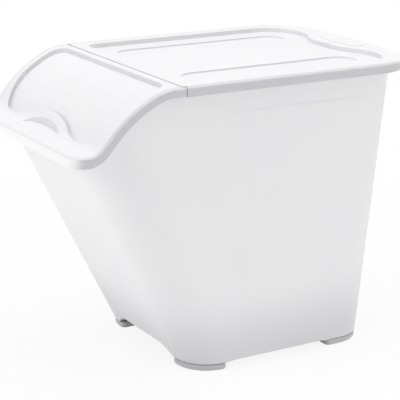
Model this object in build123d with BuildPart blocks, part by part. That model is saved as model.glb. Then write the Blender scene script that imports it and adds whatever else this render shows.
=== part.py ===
from build123d import *
import os
from math import asin, atan, cos, radians, sin, tan

# Slope-fronted storage box: a tub on four feet, a lift-off lid and a flap hinged to the lid.
# X runs across the box, Y from the front lip to the rear, Z up, all in millimetres.
# The origin lies on the floor, under the middle of the box.

# Overall size
width = 300.0
depth = 487.0
height = 371.0
foot_height = 7.0

# Lid and flap seen from above
flap_reach = 137.0
front_narrowing = 5.0
front_corner = 20.0
rear_corner = 65.0
rear_bow = 10.5

# Tub walls
tub_wall = 2.4
tub_floor = 2.4
side_ledge = 5.0
side_draft = 27.0
toe_setback = 171.5
front_slope = 27.1
heel_inset = 50.5
rear_overhang = 30.0
front_radius_top = 74.0
front_radius_bottom = 42.0
rear_radius_top = 50.0
rear_radius_bottom = 43.0
bottom_edge = 2.0
inside_edge = 4.0

# Arches under the tub
arch_inset = 36.0
arch_run = 38.0
arch_rise = 15.0
side_arch_rise = 2.5
side_arch_run = 8.0
arch_margin = 1.0

# Rim of the tub
rim_drop = 8.2
rim_thickness = 2.4
rim_clearance = 0.4
finger_gap = 14.0

# Feet
foot_inset = 0.5
foot_reach = 52.0
front_foot_length = 49.5
rear_foot_length = 64.5
front_foot_radius = 42.0
rear_foot_radius = 43.0
foot_corner = 6.0
foot_edge = 1.2
stud_width = 7.0
stud_length = 5.0
stud_clearance = 0.05
stud_lead = 0.6
socket_wall = 2.2
socket_roof = 1.8
stud_inset_x = 26.0
stud_inset_y = 28.0

# Lid
lid_wall = 2.4
lid_skirt = 12.0
lid_edge = 2.2
lid_border = 19.0
lid_front_border = 16.0
lid_rear_border = 33.0
lid_recess = 5.5
lid_front_corner = 16.0
lid_rear_corner = 45.0
bump_shoulder = 5.0
bump_reach = 18.5
bump_radius = 60.0
groove_width = 43.0
groove_inset = 50.0
groove_front = 39.0
groove_rear = 287.0
groove_depth = 1.8
grip_half_width = 42.0
grip_front = 38.0
grip_rear = 14.0
grip_sweep = 8.0
grip_rise = 1.2
grip_corner = 8.0
grip_edge_width = 0.8
rib_thickness = 2.0
rib_spacing = 42.0
rib_count = 6
rib_first = 34.0
rear_rib_spacing = 44.0
rear_rib_count = 4
rest_gap = 0.3

# Flap, as arcs down its outer surface from the seam to the lip
flap_wall = 2.0
flap_step = 0.4
crown_flat = 7.3
crown_radius = 66.0
crown_angle = 24.0
slope_radius = 162.0
slope_angle = 25.0
slope_run = 16.5
lip_radius = 23.0
lip_dip = 1.6
flap_skirt = 10.5
lip_extra = 3.4
flap_edge = 2.2
flap_border = 16.8
flap_rear_border = 12.5
flap_recess = 5.4
flap_front_corner = 40.0
flap_rear_corner = 17.0
flap_recess_reach = 106.0
flap_bump_reach = 14.4
flap_bump_radius = 170.0
flap_bump_angle = 18.9
flap_bump_shoulder = 5.8
thumb_half_width = 45.0
thumb_rear = 98.5
thumb_front = 121.0
thumb_corner = 14.0
thumb_slope = 2.5

# Hinge between the flap and the lid
seam_gap = 0.5
hinge_inset = 6.6
hinge_drop = 4.3
pin_radius = 1.5
pin_clearance = 0.05
pin_length = 4.8
eye_wall = 0.75
eye_relief = 0.35
ear_reach = 3.5
ear_inset = 4.6
ear_clearance = 0.35
pin_inset = 10.6
lug_radius = 3.1
lug_thickness = 2.0
lug_reach = 8.0
hook_gap = 0.4
hook_thickness = 4.0
hook_arm = 2.2
hook_front = 3.2
hook_rear = 12.4
seam_edge = 1.0
cutter_reach = 20.0

# Places worked out from the sizes above
front_y = -depth / 2
rear_y = depth / 2
seam_y = front_y + flap_reach
crown_z = height - flap_step
hinge_y = seam_y - hinge_inset
hinge_z = crown_z - hinge_drop
over = height + cutter_reach
front_half_width = width / 2 - front_narrowing
top_half_width = width / 2 - side_ledge
bottom_half_width = top_half_width - side_draft
arch_half_width = bottom_half_width - arch_inset
arch_crown_half_width = arch_half_width - arch_run
ear_half = width / 2 - ear_inset
pin_half = width / 2 - pin_inset
tub_rise = height - foot_height
toe_y = front_y + toe_setback
heel_y = rear_y - heel_inset
side_lean = atan(side_draft / tub_rise)
front_lean = radians(front_slope)
rear_lean = atan((heel_inset - rear_overhang) / tub_rise)
eye_radius = pin_radius + pin_clearance + eye_wall
ear_swing = hinge_inset + ear_reach - seam_gap / 2
edge_swing = hinge_inset - seam_gap / 2
hook_sweep = edge_swing + eye_relief
stud_x = bottom_half_width - stud_inset_x
front_stud_y = toe_y + stud_inset_y
rear_stud_y = heel_y - stud_inset_y
stud_places = [
    (-stud_x, front_stud_y),
    (stud_x, front_stud_y),
    (-stud_x, rear_stud_y),
    (stud_x, rear_stud_y),
]
foot_names = ["foot_front_left", "foot_front_right", "foot_rear_left", "foot_rear_right"]


def wall_places(level, inset=0.0):
    """Half width, front and rear of the tub at one level, drawn in by a wall."""
    up = level - foot_height
    half = bottom_half_width + up * tan(side_lean) - inset / cos(side_lean)
    front = toe_y - up * tan(front_lean) + inset / cos(front_lean)
    rear = heel_y + up * tan(rear_lean) - inset / cos(rear_lean)
    return half, front, rear


def front_axis(level):
    """Point on the axis of the front corner's cone, and how far it is from the walls."""
    half, front, rear = wall_places(level)
    share = (level - foot_height) / tub_rise
    radius = front_radius_bottom + (front_radius_top - front_radius_bottom) * share
    return Vector(half - radius / cos(side_lean), front + radius / cos(front_lean), level), radius


def rear_axis(level):
    """Point on the axis of the rear corner's cone, and how far it is from the walls."""
    half, front, rear = wall_places(level)
    share = (level - foot_height) / tub_rise
    radius = rear_radius_bottom + (rear_radius_top - rear_radius_bottom) * share
    return Vector(half - radius / cos(side_lean), rear - radius / cos(rear_lean), level), radius


def corner_pair(axis_at, end_normal, inset):
    """Wedge outside a corner's axis, and the cone in it that joins the side wall to the end wall."""
    low, low_radius = axis_at(0)
    high, high_radius = axis_at(over)
    axis = high - low
    way = axis.normalized()
    taper = asin((high_radius - low_radius) / axis.length)
    side_normal = Vector(cos(side_lean), 0, -sin(side_lean))
    towards_side = (side_normal - way * side_normal.dot(way)).normalized()
    towards_end = (end_normal - way * end_normal.dot(way)).normalized()
    corner_plane = Plane(origin=low, x_dir=towards_side, z_dir=way)
    end = corner_plane.to_local_coords(low + towards_end * width)
    with BuildPart() as wedge:
        with BuildSketch(corner_plane):
            with BuildLine():
                Polyline((0, 0), (width, 0), (width + end.X, end.Y), (end.X, end.Y), close=True)
            make_face()
        extrude(amount=axis.length)
    with BuildPart() as cone:
        with Locations(corner_plane):
            Cone(
                (low_radius - inset) / cos(taper),
                (high_radius - inset) / cos(taper),
                axis.length,
                align=(Align.CENTER, Align.CENTER, Align.MIN),
            )
        add(wedge.part, mode=Mode.INTERSECT)
    return wedge.part, cone.part


def tub_block(base, inset=0.0):
    """Flat leaning walls with a cone in each corner, from a base level up, drawn in by a wall."""
    low_half, low_front, low_rear = wall_places(base, inset)
    high_half, high_front, high_rear = wall_places(height, inset)
    corners = [
        corner_pair(front_axis, Vector(0, -cos(front_lean), -sin(front_lean)), inset),
        corner_pair(rear_axis, Vector(0, cos(rear_lean), -sin(rear_lean)), inset),
    ]
    with BuildPart() as cones:
        for wedge, cone in corners:
            add(cone)
        mirror(about=Plane.YZ)
        with BuildSketch(Plane.XY.offset(base)):
            Rectangle(2 * width, 2 * depth)
        extrude(amount=height - base, mode=Mode.INTERSECT)
    with BuildPart() as block:
        with BuildSketch(Plane.YZ):
            with BuildLine():
                Polyline(
                    (low_front, base),
                    (low_rear, base),
                    (high_rear, height),
                    (high_front, height),
                    close=True,
                )
            make_face()
        extrude(amount=width, both=True)
        with BuildSketch(Plane.XZ):
            with BuildLine():
                Polyline(
                    (-low_half, base),
                    (low_half, base),
                    (high_half, height),
                    (-high_half, height),
                    close=True,
                )
            make_face()
        extrude(amount=depth, both=True, mode=Mode.INTERSECT)
        for wedge, cone in corners:
            add(wedge, mode=Mode.SUBTRACT)
            mirror(wedge, about=Plane.YZ, mode=Mode.SUBTRACT)
        add(cones.part)
    return block.part


def crown_line(under, rear, longer=0.0):
    """Line down the flap, a depth under its outer surface, from rear of the seam to the lip."""
    flat = Line((rear, crown_z - under), (seam_y - crown_flat, crown_z - under))
    shoulder = JernArc(flat @ 1, flat % 1, crown_radius - under, crown_angle)
    slope = JernArc(shoulder @ 1, shoulder % 1, slope_radius - under, slope_angle)
    run = Line(slope @ 1, slope @ 1 + (slope % 1) * (slope_run + longer))
    lip = JernArc(run @ 1, run % 1, lip_radius + under, lip_dip - crown_angle - slope_angle)
    reach = ((lip @ 1).X - front_y) / cos(radians(lip_dip))
    end = lip @ 1 + (lip % 1) * reach
    Line(lip @ 1, end)
    return flat @ 0, end


def beside_crown(under, rear, level):
    """Section between a line under the flap's outer surface and a level above or below it."""
    with BuildSketch() as section:
        with BuildLine():
            start, end = crown_line(under, rear)
            Polyline(end, (2 * front_y, end.Y), (2 * front_y, level), (rear, level), start)
        make_face()
    return section.sketch


def crown_band(upper, lower, rear, longer=0.0):
    """Section between two depths under the flap's outer surface."""
    with BuildSketch() as section:
        with BuildLine():
            top = crown_line(upper, rear)
            bottom = crown_line(lower, rear, longer)
            Line(top[0], bottom[0])
            Line(top[1], bottom[1])
        make_face()
    return section.sketch


def crown_pocket(plan, under, grow=0.0):
    """Solid above a plan outline, down to a depth under the flap's outer surface."""
    with BuildPart() as pocket:
        with BuildSketch(Plane.YZ):
            add(beside_crown(under, seam_y, over))
        extrude(amount=width / 2, both=True)
        with BuildSketch():
            add(plan)
            if grow:
                offset(amount=grow)
        extrude(amount=over, mode=Mode.INTERSECT)
    return pocket.part


# Outline of the lid and the flap together, seen from above
with BuildSketch() as cover_plan:
    with BuildLine():
        rear_y_at_side = rear_y - rear_bow
        sides = Polyline(
            (width / 2, rear_y_at_side),
            (width / 2, seam_y),
            (front_half_width, front_y),
            (-front_half_width, front_y),
            (-width / 2, seam_y),
            (-width / 2, rear_y_at_side),
        )
        ThreePointArc(sides @ 1, (0, rear_y), sides @ 0)
    make_face()
    fillet(cover_plan.vertices().group_by(Axis.Y)[0], front_corner)
    fillet(cover_plan.vertices().group_by(Axis.Y)[-1], rear_corner)

# Outline of the lid's sunk panel, drawn in toward its middle where the rear grip is
with BuildSketch() as lid_panel_plan:
    panel_half = width / 2 - lid_border
    panel_front = seam_y + lid_front_border
    panel_rear = rear_y - lid_rear_border
    bump_run = (bump_radius**2 - (bump_radius - bump_reach / 2) ** 2) ** 0.5
    bump_half_width = panel_half - lid_rear_corner - bump_shoulder - 2 * bump_run
    with BuildLine():
        side = Line((panel_half, panel_front), (panel_half, panel_rear - lid_rear_corner))
        JernArc(side @ 1, (0, 1), lid_rear_corner, 90)
        shoulder = Line(
            (panel_half - lid_rear_corner, panel_rear),
            (bump_half_width + 2 * bump_run, panel_rear),
        )
        middle = (bump_half_width + bump_run, panel_rear - bump_reach / 2)
        bend = RadiusArc(shoulder @ 1, middle, -bump_radius)
        ease = RadiusArc(bend @ 1, (bump_half_width, panel_rear - bump_reach), bump_radius)
        Line(ease @ 1, (0, panel_rear - bump_reach))
        mirror(about=Plane.YZ)
        Line((-panel_half, panel_front), (panel_half, panel_front))
    make_face()
    fillet(lid_panel_plan.vertices().group_by(Axis.Y)[0], lid_front_corner)

# Two long grooves sunk into the lid's panel
with BuildSketch() as groove_plan:
    with Locations(
        (groove_inset - panel_half, seam_y + (groove_front + groove_rear) / 2),
        (panel_half - groove_inset, seam_y + (groove_front + groove_rear) / 2),
    ):
        SlotOverall(groove_rear - groove_front, groove_width, rotation=90)

# Outline of the flap's sunk panel, drawn in toward the seam behind the thumb dish
with BuildSketch() as flap_panel_plan:
    panel_half = width / 2 - flap_border
    panel_front = seam_y - flap_recess_reach
    bump_end = panel_half - flap_front_corner - flap_bump_shoulder
    bump_return = bump_end / sin(radians(flap_bump_angle)) - flap_bump_radius
    with BuildLine():
        bump = JernArc(
            (0, panel_front + flap_bump_reach), (1, 0), flap_bump_radius, -flap_bump_angle
        )
        ease = JernArc(bump @ 1, bump % 1, bump_return, flap_bump_angle)
        edge = Line(ease @ 1, (panel_half - flap_front_corner, (ease @ 1).Y))
        corner = JernArc(edge @ 1, (1, 0), flap_front_corner, 90)
        Line(corner @ 1, (panel_half, seam_y - flap_rear_border))
        mirror(about=Plane.YZ)
        Line(
            (-panel_half, seam_y - flap_rear_border), (panel_half, seam_y - flap_rear_border)
        )
    make_face()
    fillet(flap_panel_plan.vertices().group_by(Axis.Y)[-1], flap_rear_corner)

# Outline of the thumb dish in the flap's lip
with BuildSketch() as thumb_plan:
    with BuildLine():
        ends = Polyline(
            (-thumb_half_width, seam_y - thumb_rear - grip_sweep),
            (-thumb_half_width, seam_y - thumb_front),
            (thumb_half_width, seam_y - thumb_front),
            (thumb_half_width, seam_y - thumb_rear - grip_sweep),
        )
        ThreePointArc(ends @ 1, (0, seam_y - thumb_rear), ends @ 0)
    make_face()
    fillet(thumb_plan.vertices().group_by(Axis.Y)[-1], thumb_corner)


def thumb_dish(grow, under):
    """Solid that sinks the thumb dish, larger by `grow` and deeper by `under`."""
    with BuildLine():
        level = crown_line(0, seam_y)[1].Y
    with BuildPart() as dish:
        with BuildSketch():
            add(thumb_plan.sketch)
            if grow:
                offset(amount=grow)
        extrude(amount=over)
        with BuildSketch(Plane.YZ):
            with BuildLine():
                Polyline(
                    (seam_y - thumb_front - grow, level - under),
                    (seam_y - thumb_rear + grow, level + thumb_slope - under),
                    (seam_y - thumb_rear + grow, over),
                    (seam_y - thumb_front - grow, over),
                    close=True,
                )
            make_face()
        extrude(amount=width / 2, both=True, mode=Mode.INTERSECT)
    return dish.part


def hump(grow):
    """Section of the raised middle of the floor, larger by `grow` for its inner side."""
    run = (arch_half_width - arch_crown_half_width) / 2
    radius = (run**2 + (arch_rise / 2) ** 2) / arch_rise
    base = foot_height + grow
    top = foot_height + arch_rise + grow
    with BuildSketch() as section:
        with BuildLine():
            rise = RadiusArc(
                (arch_half_width + grow, base),
                (arch_crown_half_width + grow + run, base + arch_rise / 2),
                radius,
            )
            crown = RadiusArc(rise @ 1, (arch_crown_half_width + grow, top), -radius)
            Line(crown @ 1, (0, top))
            mirror(about=Plane.YZ)
            Polyline(
                (-arch_half_width - grow, base),
                (-arch_half_width - grow, 0),
                (arch_half_width + grow, 0),
                (arch_half_width + grow, base),
            )
        make_face()
    return section.sketch


def side_arch(grow):
    """Section of the shallow arch between the feet, larger by `grow` for the floor over it."""
    front = toe_y + front_foot_length + arch_margin - grow
    rear = heel_y - rear_foot_length - arch_margin + grow
    base = foot_height + grow
    with BuildSketch() as section:
        with BuildLine():
            Polyline(
                (front, 0),
                (front, base),
                (front + side_arch_run, base + side_arch_rise),
                (rear - side_arch_run, base + side_arch_rise),
                (rear, base),
                (rear, 0),
                close=True,
            )
        make_face()
    return section.sketch


# Hollow of the tub, whose floor rises over the arches
with BuildPart() as tub_hollow:
    add(tub_block(foot_height + tub_floor, tub_wall))
    chamfer(tub_hollow.faces().sort_by(Axis.Z)[0].edges(), inside_edge)
    with BuildSketch(Plane.XZ):
        add(hump(tub_floor))
    extrude(amount=depth / 2, both=True, mode=Mode.SUBTRACT)
    with BuildSketch(Plane.YZ):
        add(side_arch(tub_floor))
    extrude(amount=width / 2, both=True, mode=Mode.SUBTRACT)

# Flange around the tub's mouth, which follows the lid and then the flap
with BuildPart() as rim:
    with BuildSketch(Plane.YZ):
        add(crown_band(rim_drop - flap_step, rim_drop - flap_step + rim_thickness, rear_y))
    extrude(amount=width / 2, both=True)
    with BuildSketch():
        add(cover_plan.sketch)
        offset(amount=-lid_wall - rim_clearance)
        with Locations((0, front_y)):
            Rectangle(width, 2 * (lid_wall + rim_clearance + finger_gap), mode=Mode.SUBTRACT)
    extrude(amount=over, mode=Mode.INTERSECT)

with BuildPart() as tub:
    add(tub_block(foot_height))
    chamfer(tub.faces().sort_by(Axis.Z)[0].edges(), bottom_edge)
    add(rim.part)
    # Everything above the mouth is cut away, along the lid and the flap
    with BuildSketch(Plane.YZ):
        add(beside_crown(rim_drop - flap_step, rear_y, over))
    extrude(amount=width / 2, both=True, mode=Mode.SUBTRACT)
    add(tub_hollow.part, mode=Mode.SUBTRACT)
    # Arch from front to rear, and the shallow one between the feet
    with BuildSketch(Plane.XZ):
        add(hump(0))
    extrude(amount=depth / 2, both=True, mode=Mode.SUBTRACT)
    with BuildSketch(Plane.YZ):
        add(side_arch(0))
    extrude(amount=width / 2, both=True, mode=Mode.SUBTRACT)
    # Shallow notches in the mouth for the flap's rear edge, and deeper ones in the flange for its ears
    with BuildSketch(Plane.YZ):
        with Locations((hinge_y, hinge_z)):
            Circle(edge_swing + ear_clearance)
    extrude(amount=ear_half, both=True, mode=Mode.SUBTRACT)
    with BuildSketch(Plane.YZ.offset(ear_half - ear_clearance)):
        with Locations((hinge_y, hinge_z)):
            Circle(ear_swing + ear_clearance)
    notch = extrude(amount=ear_inset + ear_clearance, mode=Mode.SUBTRACT)
    mirror(notch, about=Plane.YZ, mode=Mode.SUBTRACT)
    # Blind sockets for the feet
    with BuildSketch(Plane.XY.offset(foot_height)):
        with Locations(*stud_places):
            socket_width = stud_width + 2 * stud_clearance
            Rectangle(socket_width + 2 * socket_wall, socket_width + 2 * socket_wall)
    extrude(amount=stud_length + rest_gap + socket_roof)
    with BuildSketch(Plane.XY.offset(foot_height)):
        with Locations(*stud_places):
            Rectangle(socket_width, socket_width)
    extrude(amount=stud_length + rest_gap, mode=Mode.SUBTRACT)
tub.part.label = "tub"

# Outline of the feet together, a little inside the tub's floor
with BuildSketch() as foot_plan:
    with Locations((0, (toe_y + heel_y) / 2)):
        Rectangle(2 * (bottom_half_width - foot_inset), heel_y - toe_y - 2 * foot_inset)
    fillet(foot_plan.vertices().group_by(Axis.Y)[0], front_foot_radius)
    fillet(foot_plan.vertices().group_by(Axis.Y)[-1], rear_foot_radius)

# Feet, each following the tub's corner above it and pushed into its socket
feet = []
for (place_x, place_y), name in zip(stud_places, foot_names):
    side = 1 if place_x > 0 else -1
    middle = toe_y + front_foot_length / 2 if place_y < 0 else heel_y - rear_foot_length / 2
    length = front_foot_length if place_y < 0 else rear_foot_length
    with BuildPart() as foot:
        with BuildSketch():
            add(foot_plan.sketch)
            with Locations((side * (bottom_half_width - foot_reach / 2), middle)):
                Rectangle(foot_reach, length, mode=Mode.INTERSECT)
        extrude(amount=foot_height)
        fillet(foot.edges().filter_by(Axis.Z), foot_corner)
        chamfer(foot.faces().sort_by(Axis.Z)[0].edges(), foot_edge)
        with BuildSketch(Plane.XY.offset(foot_height)):
            with Locations((place_x, place_y)):
                Rectangle(stud_width, stud_width)
        extrude(amount=stud_length)
        chamfer(foot.faces().sort_by(Axis.Z)[-1].edges(), stud_lead)
    foot.part.label = name
    feet.append(foot)

# Space under the lid, between its skirt, its border and its sunk panel
panel_under = height - lid_recess - lid_wall
with BuildPart() as lid_hollow:
    with BuildSketch(Plane.XY.offset(height - 2 * lid_skirt)):
        add(cover_plan.sketch)
        offset(amount=-lid_wall)
    extrude(amount=2 * lid_skirt - lid_wall)
    with BuildSketch(Plane.XY.offset(panel_under)):
        add(lid_panel_plan.sketch)
        offset(amount=lid_wall)
    extrude(amount=over - panel_under, mode=Mode.SUBTRACT)
    with BuildSketch(Plane.XY.offset(panel_under - groove_depth)):
        add(groove_plan.sketch)
        offset(amount=lid_wall)
    extrude(amount=over - panel_under, mode=Mode.SUBTRACT)
    # The front wall along the seam stays
    with BuildSketch(Plane.XY.offset(panel_under)):
        with Locations((0, seam_y)):
            Rectangle(2 * (pin_half - hook_thickness), seam_gap + 2 * lid_wall)
    extrude(amount=lid_skirt, mode=Mode.SUBTRACT)

with BuildPart() as lid:
    with BuildSketch(Plane.XY.offset(height - lid_skirt)):
        add(cover_plan.sketch)
        with Locations((0, front_y)):
            Rectangle(width, 2 * flap_reach + seam_gap, mode=Mode.SUBTRACT)
    extrude(amount=lid_skirt)
    top_edges = lid.faces().sort_by(Axis.Z)[-1].edges().sort_by(Axis.Y)
    chamfer(top_edges[1:], lid_edge)
    chamfer(lid.faces().sort_by(Axis.Z)[-1].edges().sort_by(Axis.Y)[0], seam_edge)
    # Sunk panel and its grooves
    with BuildSketch(Plane.XY.offset(height)):
        add(lid_panel_plan.sketch)
    extrude(amount=-lid_recess, mode=Mode.SUBTRACT)
    with BuildSketch(Plane.XY.offset(height)):
        add(groove_plan.sketch)
    extrude(amount=-lid_recess - groove_depth, mode=Mode.SUBTRACT)
    # Raised grip in the middle of the rear border
    with BuildSketch(Plane.XY.offset(height - lid_wall / 2)) as grip:
        with BuildLine():
            grip_edge = ThreePointArc(
                (-grip_half_width, rear_y - grip_front + grip_sweep),
                (0, rear_y - grip_front),
                (grip_half_width, rear_y - grip_front + grip_sweep),
            )
            Polyline(
                grip_edge @ 0,
                (-grip_half_width, rear_y - grip_rear),
                (grip_half_width, rear_y - grip_rear),
                grip_edge @ 1,
            )
        make_face()
        fillet(grip.vertices(), grip_corner)
    extrude(amount=lid_wall / 2 + grip_rise)
    chamfer(lid.faces().sort_by(Axis.Z)[-1].edges(), grip_edge_width)
    add(lid_hollow.part, mode=Mode.SUBTRACT)
    # Room for the flap's ears
    with BuildSketch(Plane.XY.offset(height - lid_skirt)):
        for side in (-1, 1):
            with Locations((side * (ear_half - seam_gap / 2), seam_y)):
                Rectangle(
                    width,
                    2 * (ear_reach + seam_gap / 2),
                    align=(Align.MIN if side > 0 else Align.MAX, Align.CENTER),
                )
    extrude(amount=lid_skirt, mode=Mode.SUBTRACT)
    # Ribs across the hollow border, which the lid stands on the tub's rim with
    with BuildSketch(Plane.XY.offset(panel_under)):
        with Locations((0, seam_y + rib_first + rib_spacing * (rib_count - 1) / 2)):
            with GridLocations(width - lid_border, rib_spacing, 2, rib_count):
                Rectangle(lid_border - lid_wall, rib_thickness)
        with Locations((0, rear_y - lid_rear_border / 2)):
            with GridLocations(rear_rib_spacing, 1, rear_rib_count, 1):
                Rectangle(rib_thickness, lid_rear_border - lid_wall)
    extrude(amount=lid_recess + lid_wall / 2)
    # Hooks under the seam, whose eyes hold the flap's pins
    for side in (-1, 1):
        with BuildSketch(Plane.YZ.offset(side * (pin_half - seam_gap / 2 - hook_thickness / 2))):
            with BuildLine():
                Polyline(
                    (hinge_y - hook_front, hinge_z),
                    (hinge_y - hook_front, hinge_z - hook_sweep - hook_arm),
                    (hinge_y + hook_rear, hinge_z - hook_sweep - hook_arm),
                    (hinge_y + hook_rear, height - lid_wall / 2),
                    (seam_y + seam_gap / 2, height - lid_wall / 2),
                    (seam_y + seam_gap / 2, hinge_z - hook_sweep),
                    (hinge_y - hook_front + hook_arm, hinge_z - hook_sweep),
                    (hinge_y - hook_front + hook_arm, hinge_z),
                    close=True,
                )
            make_face()
            with Locations((hinge_y, hinge_z)):
                Circle(eye_radius)
                Circle(pin_radius + pin_clearance, mode=Mode.SUBTRACT)
        extrude(amount=hook_thickness / 2, both=True)
lid.part.label = "lid"

# Space under the flap, between its skirt, its border and its sunk panel
with BuildPart() as flap_hollow:
    with BuildSketch(Plane.YZ):
        add(beside_crown(flap_wall, rear_y, 0))
    extrude(amount=width / 2, both=True)
    with BuildSketch():
        add(cover_plan.sketch)
        offset(amount=-flap_wall)
    extrude(amount=over, mode=Mode.INTERSECT)
    add(
        crown_pocket(flap_panel_plan.sketch, flap_recess + flap_wall, flap_wall),
        mode=Mode.SUBTRACT,
    )
    add(thumb_dish(flap_wall, flap_wall), mode=Mode.SUBTRACT)

with BuildPart() as flap:
    ear_y = seam_y + ear_reach - seam_gap / 2
    with BuildSketch(Plane.YZ):
        add(crown_band(0, flap_skirt, ear_y, lip_extra))
    extrude(amount=width / 2, both=True)
    with BuildSketch():
        add(cover_plan.sketch)
    extrude(amount=over, mode=Mode.INTERSECT)
    upper_edges = flap.faces().filter_by(lambda f: f.normal_at().Z > 0.3).edges()
    outline_edges = flap.faces().filter_by(lambda f: abs(f.normal_at().Z) < 0.01).edges()
    shown_edges = upper_edges.filter_by(
        lambda e: e in outline_edges and e.center().Y < ear_y - 0.01
    )
    chamfer(shown_edges, flap_edge)
    add(crown_pocket(flap_panel_plan.sketch, flap_recess), mode=Mode.SUBTRACT)
    add(thumb_dish(0, 0), mode=Mode.SUBTRACT)
    add(flap_hollow.part, mode=Mode.SUBTRACT)
    # Between the ears the flap stops at the seam
    with BuildSketch(Plane.XY):
        with Locations((0, seam_y - seam_gap / 2)):
            Rectangle(2 * ear_half + seam_gap, 2 * ear_swing, align=(Align.CENTER, Align.MIN))
    extrude(amount=over, mode=Mode.SUBTRACT)
    # Rear edges rounded about the hinge, so that they turn past the lid
    with BuildSketch(Plane.YZ):
        with Locations((hinge_y, hinge_z)):
            Rectangle(2 * ear_swing, 2 * ear_swing, align=(Align.MIN, Align.MIN))
            Circle(edge_swing, mode=Mode.SUBTRACT)
    extrude(amount=ear_half + seam_gap / 2, both=True, mode=Mode.SUBTRACT)
    with BuildSketch(Plane.YZ):
        with Locations((hinge_y, hinge_z)):
            Rectangle(2 * ear_swing, 2 * ear_swing, align=(Align.MIN, Align.MIN))
            Circle(ear_swing, mode=Mode.SUBTRACT)
    extrude(amount=width / 2, both=True, mode=Mode.SUBTRACT)
    # Lugs with the pins, and the relief over each of the lid's eyes
    for side in (-1, 1):
        with BuildSketch(Plane.YZ.offset(side * (pin_half + seam_gap / 2 + lug_thickness / 2))):
            with Locations((hinge_y, hinge_z)):
                Circle(lug_radius)
            with Locations((hinge_y - lug_reach, hinge_z)):
                Rectangle(
                    lug_reach + lug_radius,
                    hinge_drop - flap_wall / 2,
                    align=(Align.MIN, Align.MIN),
                )
        extrude(amount=lug_thickness / 2, both=True)
        with BuildSketch(Plane.YZ.offset(side * (pin_half - seam_gap / 2 - hook_thickness / 2))):
            with Locations((hinge_y, hinge_z)):
                Circle(eye_radius + eye_relief)
        extrude(amount=hook_thickness / 2 + hook_gap, both=True, mode=Mode.SUBTRACT)
        with BuildSketch(Plane.YZ.offset(side * (pin_half + seam_gap / 2 - pin_length / 2))):
            with Locations((hinge_y, hinge_z)):
                Circle(pin_radius)
        extrude(amount=pin_length / 2 + lug_thickness / 2, both=True)
flap.part.label = "flap"

os.makedirs("parts", exist_ok=True)
for piece in (tub, lid, flap, *feet):
    export_step(piece.part, f"parts/{piece.part.label}.step")
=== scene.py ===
"""A flip-front storage box of pale plastic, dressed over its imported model."""

import math
import bpy
from mathutils import Matrix, Vector


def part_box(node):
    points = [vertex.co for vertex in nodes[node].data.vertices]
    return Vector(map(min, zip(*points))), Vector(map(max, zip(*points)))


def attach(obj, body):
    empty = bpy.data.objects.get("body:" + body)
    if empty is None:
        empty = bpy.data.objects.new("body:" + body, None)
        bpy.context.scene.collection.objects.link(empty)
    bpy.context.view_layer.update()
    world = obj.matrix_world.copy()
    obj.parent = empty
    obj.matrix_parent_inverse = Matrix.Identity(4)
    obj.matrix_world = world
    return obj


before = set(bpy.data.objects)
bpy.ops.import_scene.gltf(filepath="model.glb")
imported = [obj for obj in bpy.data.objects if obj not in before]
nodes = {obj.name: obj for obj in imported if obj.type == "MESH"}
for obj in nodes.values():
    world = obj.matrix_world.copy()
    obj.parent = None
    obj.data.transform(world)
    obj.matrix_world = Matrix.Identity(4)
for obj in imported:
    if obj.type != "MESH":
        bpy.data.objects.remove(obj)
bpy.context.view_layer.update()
flap_low, flap_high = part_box("flap")


# Camera, fitted to the photograph's frame.

SENSOR_WIDTH = 36
FARTHEST_SEEN = 50


def aim_camera(place, azimuth, elevation, roll, lens):
    """A camera that looks back along an azimuth and elevation, in degrees."""
    turn, rise, lean = (math.radians(angle) for angle in (azimuth, elevation, roll))
    back = Vector((
        math.sin(turn) * math.cos(rise),
        -math.cos(turn) * math.cos(rise),
        math.sin(rise),
    ))
    right = (-back).cross(Vector((0, 0, 1))).normalized()
    up = right.cross(-back)
    right_leant = right * math.cos(lean) + up * math.sin(lean)
    up_leant = up * math.cos(lean) - right * math.sin(lean)
    axes = Matrix((right_leant, up_leant, back)).transposed().to_4x4()
    data = bpy.data.cameras.new("photo_camera")
    data.sensor_width = SENSOR_WIDTH
    data.lens = lens
    data.clip_end = FARTHEST_SEEN
    camera = bpy.data.objects.new("photo_camera", data)
    camera.matrix_world = Matrix.Translation(place) @ axes
    bpy.context.scene.collection.objects.link(camera)
    bpy.context.scene.camera = camera


aim_camera(
    place=Vector((1.6045, -0.9640, 0.7389)),
    azimuth=58.8465, elevation=16.506, roll=0.6546, lens=137.5,
)


# Short ways to add and join nodes, for shader and geometry trees alike.

def feed(tree, source, socket):
    """Gives a socket another socket's value, or a plain one."""
    if isinstance(source, bpy.types.NodeSocket):
        tree.links.new(source, socket)
    else:
        socket.default_value = source


def maths(tree, operation, *sources):
    """The result of a Math node on sockets or numbers."""
    node = tree.nodes.new("ShaderNodeMath")
    node.operation = operation
    for source, socket in zip(sources, node.inputs):
        feed(tree, source, socket)
    return node.outputs[0]


def measure(tree, operation, *sources):
    """The number that a Vector Math node works out from its vectors."""
    node = tree.nodes.new("ShaderNodeVectorMath")
    node.operation = operation
    for source, socket in zip(sources, node.inputs):
        feed(tree, source, socket)
    return node.outputs["Value"]


def ramp(tree, value, start, end, low=0.0, high=1.0, kind="SMOOTHSTEP"):
    """A rise from low to high while a value goes from start to end."""
    node = tree.nodes.new("ShaderNodeMapRange")
    node.interpolation_type = kind
    feed(tree, value, node.inputs["Value"])
    feed(tree, start, node.inputs["From Min"])
    feed(tree, end, node.inputs["From Max"])
    feed(tree, low, node.inputs["To Min"])
    feed(tree, high, node.inputs["To Max"])
    return node.outputs["Result"]


def object_place(tree):
    """The place on the piece, in metres."""
    return tree.nodes.new("ShaderNodeTexCoord").outputs["Object"]


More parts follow.
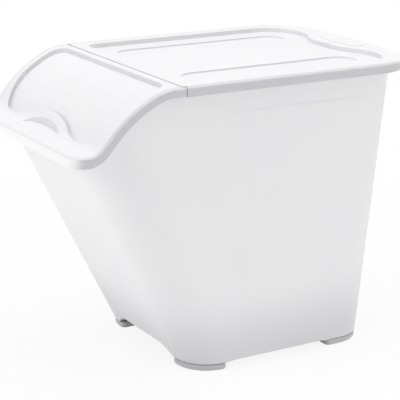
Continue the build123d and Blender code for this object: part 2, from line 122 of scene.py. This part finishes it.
def noise(tree, place, scale, detail):
    """An even noise between 0 and 1."""
    node = tree.nodes.new("ShaderNodeTexNoise")
    feed(tree, place, node.inputs["Vector"])
    feed(tree, scale, node.inputs["Scale"])
    feed(tree, detail, node.inputs["Detail"])
    return node.outputs["Fac"]


def mixed_colour(tree, share, first, second, kind="MIX"):
    """A first colour with a share of a second one mixed in."""
    node = tree.nodes.new("ShaderNodeMix")
    node.data_type = "RGBA"
    node.blend_type = kind
    colour_a, colour_b = (
        socket for socket in node.inputs if socket.identifier in ("A_Color", "B_Color")
    )
    feed(tree, share, node.inputs["Factor"])
    feed(tree, first, colour_a)
    feed(tree, second, colour_b)
    return next(
        socket for socket in node.outputs if socket.identifier == "Result_Color"
    )


def mixed_surface(tree, share, first, second):
    """A first shader with a share of a second one mixed in."""
    node = tree.nodes.new("ShaderNodeMixShader")
    for source, socket in zip((share, first, second), node.inputs):
        feed(tree, source, socket)
    return node.outputs[0]


# Shader groups that the plastics share.

def new_group(name, inputs, outputs):
    """A shader group with what it is given and what it makes, by socket name."""
    group = bpy.data.node_groups.new(name, "ShaderNodeTree")
    for label, kind, value in inputs:
        socket = group.interface.new_socket(label, in_out="INPUT", socket_type=kind)
        socket.default_value = value
    for label, kind in outputs:
        group.interface.new_socket(label, in_out="OUTPUT", socket_type=kind)
    given = group.nodes.new("NodeGroupInput").outputs
    made = group.nodes.new("NodeGroupOutput").inputs
    return group, given, made


GRAIN_DETAIL = 3
CLOUD_SCALE, CLOUD_DETAIL = 9, 4
CLOUD_LOW, CLOUD_HIGH = 0.35, 0.65


def moulded_skin():
    """Fine pitted mould texture with a slow unevenness of tone and gloss."""
    group, given, made = new_group(
        "moulded_skin",
        [
            ("Grain Size", "NodeSocketFloat", 1500.0),
            ("Grain Height", "NodeSocketFloat", 0.2),
            ("Colour", "NodeSocketColor", (0.8, 0.8, 0.8, 1)),
            ("Cloudy Colour", "NodeSocketColor", (0.76, 0.76, 0.77, 1)),
            ("Roughness", "NodeSocketFloat", 0.4),
            ("Roughness Drift", "NodeSocketFloat", 0.08),
        ],
        [
            ("Colour", "NodeSocketColor"),
            ("Roughness", "NodeSocketFloat"),
            ("Height", "NodeSocketFloat"),
        ],
    )
    place = object_place(group)
    grain = noise(group, place, given["Grain Size"], GRAIN_DETAIL)
    height = maths(group, "MULTIPLY", grain, given["Grain Height"])
    cloud = noise(group, place, CLOUD_SCALE, CLOUD_DETAIL)
    cloudy = ramp(group, cloud, CLOUD_LOW, CLOUD_HIGH, kind="LINEAR")
    colour = mixed_colour(group, cloudy, given["Colour"], given["Cloudy Colour"])
    roughness = maths(
        group, "MULTIPLY_ADD", cloudy, given["Roughness Drift"], given["Roughness"]
    )
    feed(group, colour, made["Colour"])
    feed(group, roughness, made["Roughness"])
    feed(group, height, made["Height"])
    return group


def painted_line_tint():
    """Colour that changes in a band across Y, such as painted shade in a seam or
    painted light on an edge.
    """
    group, given, made = new_group(
        "painted_line_tint",
        [
            ("Colour", "NodeSocketColor", (0.8, 0.8, 0.8, 1)),
            ("Line Tint", "NodeSocketColor", (0.5, 0.5, 0.5, 1)),
            ("Line Place", "NodeSocketFloat", 0.0),
            ("Half Width", "NodeSocketFloat", 0.001),
            ("Soft Edge", "NodeSocketFloat", 0.0005),
            ("Lowest", "NodeSocketFloat", 0.0),
            ("Highest", "NodeSocketFloat", 1.0),
        ],
        [("Colour", "NodeSocketColor")],
    )
    place = group.nodes.new("ShaderNodeSeparateXYZ")
    feed(group, object_place(group), place.inputs[0])
    offset = maths(group, "SUBTRACT", place.outputs["Y"], given["Line Place"])
    away = maths(group, "ABSOLUTE", offset)
    reach = maths(group, "ADD", given["Half Width"], given["Soft Edge"])
    band = ramp(group, away, reach, given["Half Width"])
    below = maths(group, "LESS_THAN", place.outputs["Z"], given["Highest"])
    above = maths(group, "GREATER_THAN", place.outputs["Z"], given["Lowest"])
    share = maths(group, "MULTIPLY", band, maths(group, "MULTIPLY", below, above))
    colour = mixed_colour(group, share, given["Colour"], given["Line Tint"])
    feed(group, colour, made["Colour"])
    return group


def painted_shade_fade():
    """Painted shade: colour multiplied by a tint between two distances along a
    direction.
    """
    group, given, made = new_group(
        "painted_shade_fade",
        [
            ("Colour", "NodeSocketColor", (0.9, 0.9, 0.9, 1)),
            ("Tint", "NodeSocketColor", (0.8, 0.8, 0.8, 1)),
            ("Direction", "NodeSocketVector", (0.0, 0.0, 1.0)),
            ("Fade Start", "NodeSocketFloat", 0.1),
            ("Fade End", "NodeSocketFloat", 0.0),
        ],
        [("Colour", "NodeSocketColor")],
    )
    along = measure(group, "DOT_PRODUCT", object_place(group), given["Direction"])
    distance = maths(group, "ABSOLUTE", along)
    share = ramp(group, distance, given["Fade Start"], given["Fade End"])
    colour = mixed_colour(group, share, given["Colour"], given["Tint"], "MULTIPLY")
    feed(group, colour, made["Colour"])
    return group


SKIN = moulded_skin()
PAINTED_SHADE_FADE = painted_shade_fade()
PAINTED_LINE_TINT = painted_line_tint()


# Finishes: white lid and flap, milky tub, grey feet.

GRAIN_DEPTH = 0.0005


def placed_group(material, group, values):
    """A shader group placed in a material with its own values."""
    node = material.node_tree.nodes.new("ShaderNodeGroup")
    node.node_tree = group
    for label, value in values.items():
        node.inputs[label].default_value = value
    return node


def plastic(name, relief, skin_values):
    """A moulded plastic with its own colour, gloss and grain."""
    material = bpy.data.materials.new(name)
    material.use_nodes = True
    tree = material.node_tree
    shader = tree.nodes["Principled BSDF"].inputs
    skin = placed_group(material, SKIN, skin_values).outputs
    bump = tree.nodes.new("ShaderNodeBump")
    feed(tree, relief, bump.inputs["Strength"])
    feed(tree, GRAIN_DEPTH, bump.inputs["Distance"])
    feed(tree, skin["Height"], bump.inputs["Height"])
    feed(tree, skin["Colour"], shader["Base Color"])
    feed(tree, skin["Roughness"], shader["Roughness"])
    feed(tree, bump.outputs["Normal"], shader["Normal"])
    return material


def tinted(material, group, values):
    """Passes a material's colour through one more group."""
    tree = material.node_tree
    base_colour = tree.nodes["Principled BSDF"].inputs["Base Color"]
    tint = placed_group(material, group, values)
    feed(tree, base_colour.links[0].from_socket, tint.inputs["Colour"])
    feed(tree, tint.outputs["Colour"], base_colour)


def let_light_in(material, share, depth):
    """Lets light soak into a milky plastic, to a depth in metres."""
    shader = material.node_tree.nodes["Principled BSDF"].inputs
    shader["Subsurface Weight"].default_value = share
    shader["Subsurface Radius"].default_value = (1, 1, 1)
    shader["Subsurface Scale"].default_value = depth


lid_white = plastic("lid_white", relief=0.25, skin_values={
    "Colour": (0.705, 0.705, 0.715, 1),
    "Cloudy Colour": (0.69, 0.69, 0.702, 1),
    "Roughness": 0.42,
    "Grain Size": 1400,
    "Grain Height": 0.5,
})
tub_milk = plastic("tub_milk", relief=0.08, skin_values={
    "Colour": (0.93, 0.93, 0.942, 1),
    "Cloudy Colour": (0.915, 0.916, 0.932, 1),
    "Roughness": 0.34,
    "Grain Size": 900,
    "Grain Height": 0.2,
})
foot_grey = plastic("foot_grey", relief=0.2, skin_values={
    "Colour": (0.57, 0.57, 0.58, 1),
    "Cloudy Colour": (0.535, 0.535, 0.547, 1),
    "Roughness": 0.5,
    "Grain Size": 1600,
    "Grain Height": 0.4,
})

# Painted shade along the seam: a dark line on the flat top, and down the gap through
# the skirt.
SEAM_PAINTED_SHADE = (0.4, 0.4, 0.41, 1)
SEAM_BEHIND_LIP = 0.137
GAP_BEHIND_FLAP = 0.00025
tinted(lid_white, PAINTED_LINE_TINT, {
    "Line Tint": SEAM_PAINTED_SHADE,
    "Line Place": flap_low[1] + SEAM_BEHIND_LIP,
    "Half Width": 0.0004,
    "Soft Edge": 0.0006,
    "Lowest": 0.3698,
})
tinted(lid_white, PAINTED_LINE_TINT, {
    "Line Tint": SEAM_PAINTED_SHADE,
    "Line Place": flap_high[1] + GAP_BEHIND_FLAP,
    "Half Width": 0.0003,
    "Soft Edge": 0.0005,
    "Highest": 0.3688,
})

# Painted light makes the flap's front edge paler, and painted shade makes the sides of
# lid and flap a little greyer.
LIP_PAINTED_LIGHT = (0.93, 0.93, 0.94, 1)
SIDE_PAINTED_SHADE = (0.88, 0.88, 0.885, 1)
tinted(lid_white, PAINTED_LINE_TINT, {
    "Line Tint": LIP_PAINTED_LIGHT,
    "Line Place": flap_low[1],
    "Half Width": 0.0005,
    "Soft Edge": 0.014,
    "Highest": 0.2999,
})
# Painted shade: the lid's and flap's sides are greyer.
tinted(lid_white, PAINTED_SHADE_FADE, {
    "Tint": SIDE_PAINTED_SHADE,
    "Direction": (1, 0, 0),
    "Fade Start": 0.138,
    "Fade End": 0.147,
})

# Painted shade: the tub glows less and is darker toward its base.
BASE_PAINTED_SHADE = (0.84, 0.84, 0.85, 1)
tinted(tub_milk, PAINTED_SHADE_FADE, {
    "Tint": BASE_PAINTED_SHADE,
    "Direction": (0, 0, 1),
    "Fade Start": 0.105,
    "Fade End": 0.02,
})
let_light_in(tub_milk, share=0.15, depth=0.008)


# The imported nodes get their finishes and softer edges.

WELD_REACH = 0.00001
EDGE_WIDTH = 0.0009
EDGE_STEPS = 3
SHARP_ANGLE = 34


def finish_node(name, material):
    """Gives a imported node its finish."""
    data = nodes[name].data
    data.materials.clear()
    data.materials.append(material)


def soften_edges(name):
    """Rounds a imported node's sharp edges, with modifiers alone."""
    piece = nodes[name]
    weld = piece.modifiers.new("weld", "WELD")
    weld.merge_threshold = WELD_REACH
    bevel = piece.modifiers.new("soft_edge", "BEVEL")
    bevel.width = EDGE_WIDTH
    bevel.segments = EDGE_STEPS
    bevel.limit_method = "ANGLE"
    bevel.angle_limit = math.radians(SHARP_ANGLE)
    bevel.use_clamp_overlap = True
    bevel.harden_normals = True


for name in nodes:
    if name.startswith("foot"):
        finish_node(name, foot_grey)
    elif name == "tub":
        finish_node(name, tub_milk)
    else:
        finish_node(name, lid_white)
    soften_edges(name)


# Bead moulded along each side wall of the tub, under the rim.

CLEAR_OF_WALL = 0.5
RAY_LENGTH = 1
BEAD_STEPS = 72
RING_STEPS = 10
TAPER_SHARE = 0.3
END_THICKNESS = 0.02


def wall_bead_tree():
    """A round bead that follows a wall along Y and dies away at both ends."""
    tree = bpy.data.node_groups.new("wall_bead", "GeometryNodeTree")
    identifiers = {}
    for label, kind in (
        ("Wall", "NodeSocketObject"),
        ("Side", "NodeSocketFloat"),
        ("Height", "NodeSocketFloat"),
        ("Front", "NodeSocketFloat"),
        ("Rear", "NodeSocketFloat"),
        ("Bead Radius", "NodeSocketFloat"),
        ("Finish", "NodeSocketMaterial"),
    ):
        socket = tree.interface.new_socket(label, in_out="INPUT", socket_type=kind)
        identifiers[label] = socket.identifier
    tree.interface.new_socket(
        "Geometry", in_out="OUTPUT", socket_type="NodeSocketGeometry"
    )
    new = tree.nodes.new
    given = new("NodeGroupInput").outputs

    def point(x, y=0.0, z=0.0):
        place = new("ShaderNodeCombineXYZ")
        for source, socket in zip((x, y, z), place.inputs):
            feed(tree, source, socket)
        return place.outputs[0]

    # A straight run beside the tub, pressed sideways onto its wall.
    outside = maths(tree, "MULTIPLY", given["Side"], CLEAR_OF_WALL)
    inward = maths(tree, "MULTIPLY", given["Side"], -1)
    run = new("GeometryNodeCurvePrimitiveLine")
    feed(tree, point(outside, given["Front"], given["Height"]), run.inputs["Start"])
    feed(tree, point(outside, given["Rear"], given["Height"]), run.inputs["End"])
    steps = new("GeometryNodeResampleCurve")
    feed(tree, run.outputs[0], steps.inputs["Curve"])
    feed(tree, BEAD_STEPS, steps.inputs["Count"])
    wall = new("GeometryNodeObjectInfo")
    feed(tree, given["Wall"], wall.inputs["Object"])
    hit = new("GeometryNodeRaycast")
    feed(tree, wall.outputs["Geometry"], hit.inputs["Target Geometry"])
    feed(tree, point(inward), hit.inputs["Ray Direction"])
    feed(tree, RAY_LENGTH, hit.inputs["Ray Length"])
    seat = new("GeometryNodeSetPosition")
    feed(tree, steps.outputs[0], seat.inputs["Geometry"])
    feed(tree, hit.outputs["Hit Position"], seat.inputs["Position"])

    # A ring swept along it, thin at both ends.
    along = new("GeometryNodeSplineParameter").outputs["Factor"]
    from_end = maths(tree, "PINGPONG", along, 0.5)
    thickness = ramp(tree, from_end, 0.0, TAPER_SHARE, low=END_THICKNESS)
    ring = new("GeometryNodeCurvePrimitiveCircle")
    feed(tree, RING_STEPS, ring.inputs["Resolution"])
    feed(tree, given["Bead Radius"], ring.inputs["Radius"])
    sweep = new("GeometryNodeCurveToMesh")
    feed(tree, seat.outputs[0], sweep.inputs["Curve"])
    feed(tree, ring.outputs[0], sweep.inputs["Profile Curve"])
    feed(tree, thickness, sweep.inputs["Scale"])
    feed(tree, True, sweep.inputs["Fill Caps"])
    real = new("GeometryNodeRealizeInstances")
    feed(tree, sweep.outputs[0], real.inputs[0])
    dress = new("GeometryNodeSetMaterial")
    feed(tree, real.outputs[0], dress.inputs["Geometry"])
    feed(tree, given["Finish"], dress.inputs["Material"])
    feed(tree, dress.outputs[0], new("NodeGroupOutput").inputs[0])
    return tree, identifiers


def made_mesh(name, tree, identifiers, values):
    """An object with the plain mesh that a tree makes from its named values."""
    piece = bpy.data.objects.new(name, bpy.data.meshes.new(name))
    bpy.context.scene.collection.objects.link(piece)
    maker = piece.modifiers.new("maker", "NODES")
    maker.node_group = tree
    for label, value in values.items():
        maker[identifiers[label]] = value
    bpy.context.view_layer.update()
    shape = piece.evaluated_get(bpy.context.evaluated_depsgraph_get())
    mesh = bpy.data.meshes.new_from_object(shape)
    piece.modifiers.clear()
    piece.data = mesh
    for face in mesh.polygons:
        face.use_smooth = True
    return piece


bead_tree, bead_identifiers = wall_bead_tree()
for side, sign in (("right", 1.0), ("left", -1.0)):
    bead = made_mesh("side_bead_" + side, bead_tree, bead_identifiers, {
        "Wall": nodes["tub"],
        "Side": sign,
        "Height": 0.3318,
        "Front": -0.055,
        "Rear": 0.17,
        "Bead Radius": 0.001,
        "Finish": tub_milk,
    })
    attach(bead, "tub")


# Floor and room, shown white, and the lamps.

PURE_WHITE = (1, 1, 1, 1)
PAPER_COLOUR = (0.82, 0.82, 0.82, 1)
PAPER_ROUGHNESS = 0.8
UNDER_SOLES = -0.0002
SHADOW_REACH, CLEAR_REACH = 0.3, 1.1


def rays_that_see_white(tree):
    """1 for camera, reflection and see-through rays, and 0 for light's own."""
    rays = tree.nodes.new("ShaderNodeLightPath").outputs
    seen = maths(tree, "MAXIMUM", rays["Is Camera Ray"], rays["Is Glossy Ray"])
    return maths(tree, "MAXIMUM", seen, rays["Is Transmission Ray"])


def studio_paper(shown_white):
    """Pale paper that takes shadows near the box and shows white beyond them."""
    material = bpy.data.materials.new("studio_paper")
    material.use_nodes = True
    tree = material.node_tree
    shader = tree.nodes["Principled BSDF"]
    shader.inputs["Base Color"].default_value = PAPER_COLOUR
    shader.inputs["Roughness"].default_value = PAPER_ROUGHNESS
    white = tree.nodes.new("ShaderNodeEmission")
    white.inputs["Color"].default_value = PURE_WHITE
    white.inputs["Strength"].default_value = 1.0
    away = measure(tree, "LENGTH", object_place(tree))
    clear = ramp(tree, away, SHADOW_REACH, CLEAR_REACH, low=shown_white)
    share = maths(tree, "MULTIPLY", rays_that_see_white(tree), clear)
    surface = mixed_surface(tree, share, shader.outputs[0], white.outputs[0])
    feed(tree, surface, tree.nodes["Material Output"].inputs["Surface"])
    return material


def studio_floor(reach, material):
    """A square floor, just under the feet's soles."""
    data = bpy.data.meshes.new("floor")
    corners = [
        (x * reach, y * reach, UNDER_SOLES)
        for x, y in ((-1, -1), (1, -1), (1, 1), (-1, 1))
    ]
    data.from_pydata(corners, [], [(0, 1, 2, 3)])
    data.materials.append(material)
    floor = bpy.data.objects.new("floor", data)
    bpy.context.scene.collection.objects.link(floor)


def studio_world(light, shown):
    """An even room light, shown white where it is seen."""
    world = bpy.data.worlds.new("studio")
    bpy.context.scene.world = world
    world.use_nodes = True
    tree = world.node_tree
    room = tree.nodes["Background"]
    white = tree.nodes.new("ShaderNodeBackground")
    for backdrop, strength in ((room, light), (white, shown)):
        backdrop.inputs["Color"].default_value = PURE_WHITE
        backdrop.inputs["Strength"].default_value = strength
    surface = mixed_surface(
        tree, rays_that_see_white(tree), room.outputs[0], white.outputs[0]
    )
    feed(tree, surface, tree.nodes["World Output"].inputs["Surface"])


def soft_lamp(name, place, target, size, power):
    """A square area lamp that faces a target."""
    data = bpy.data.lights.new(name, "AREA")
    data.size = size
    data.energy = power
    lamp = bpy.data.objects.new(name, data)
    aim = (Vector(target) - Vector(place)).to_track_quat("-Z", "Y")
    lamp.matrix_world = Matrix.Translation(place) @ aim.to_matrix().to_4x4()
    bpy.context.scene.collection.objects.link(lamp)


studio_floor(reach=12, material=studio_paper(shown_white=0.88))
studio_world(light=0.5, shown=1.0)
soft_lamp(
    "top_softbox", place=(0.1, 0.1, 2.2), target=(0, 0, 0.2), size=1.8, power=31
)
soft_lamp(
    "front_softbox", place=(-0.5, -2.2, 1.1), target=(0, -0.1, 0.25), size=1.6, power=18
)
soft_lamp(
    "side_softbox", place=(2.5, 1.3, 0.9), target=(0, 0, 0.2), size=1.6, power=12
)

bpy.context.scene.view_settings.view_transform = "Standard"
